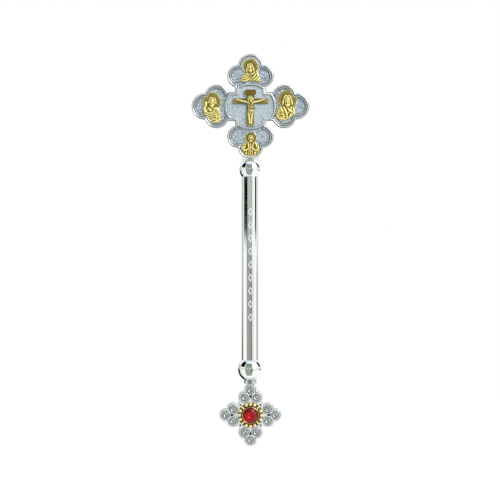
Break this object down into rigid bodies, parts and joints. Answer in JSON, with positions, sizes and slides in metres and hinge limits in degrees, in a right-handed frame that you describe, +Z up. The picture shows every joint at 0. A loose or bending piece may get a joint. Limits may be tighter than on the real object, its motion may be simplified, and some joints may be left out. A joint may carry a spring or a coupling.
{
  "type": "blessing cross",
  "caption": "Hand blessing cross: budded cross head with gilt relief figures on a polished tube handle with ball knops and a jewelled cross finial",
  "frame": {"origin": "the middle of the grip, on the axis of the handle tube", "axes": "+Z runs up the handle to the cross head, the face with the crucifix looks along -Y, and +X is to its viewer's right"},
  "size_m": [0.073, 0.0156, 0.2446],
  "materials": {
    "cast_silver": "silver-plated casting, polished rims round pebbled fields",
    "polished_plate": "bright mirror plate",
    "gilt": "gilt relief, bright on the high points",
    "steel": "plain turned steel",
    "crystal": "clear cut stones",
    "red_stone": "deep red cut stone"
  },
  "bodies": {
    "root": {"head_plate": "cast_silver", "centre_panel": "cast_silver", "crucifix_cross": "gilt", "titulus": "gilt", "corpus": "gilt", "icon_top": "gilt", "icon_left": "gilt", "icon_right": "gilt", "icon_bottom": "gilt", "upper_ball": "polished_plate", "handle_tube": "polished_plate", "tie_rod": "steel", "lower_ball": "polished_plate", "neck_collar": "polished_plate", "finial_plate": "cast_silver", "crystal_right_1": "crystal", "crystal_right_2": "crystal", "crystal_right_3": "crystal", "crystal_top_1": "crystal", "crystal_top_2": "crystal", "crystal_top_3": "crystal", "crystal_left_1": "crystal", "crystal_left_2": "crystal", "crystal_left_3": "crystal", "crystal_bottom_1": "crystal", "crystal_bottom_2": "crystal", "crystal_bottom_3": "crystal", "beaded_rosette": "gilt", "stone_cup": "gilt", "red_stone": "red_stone"}
  },
  "joints": []
}
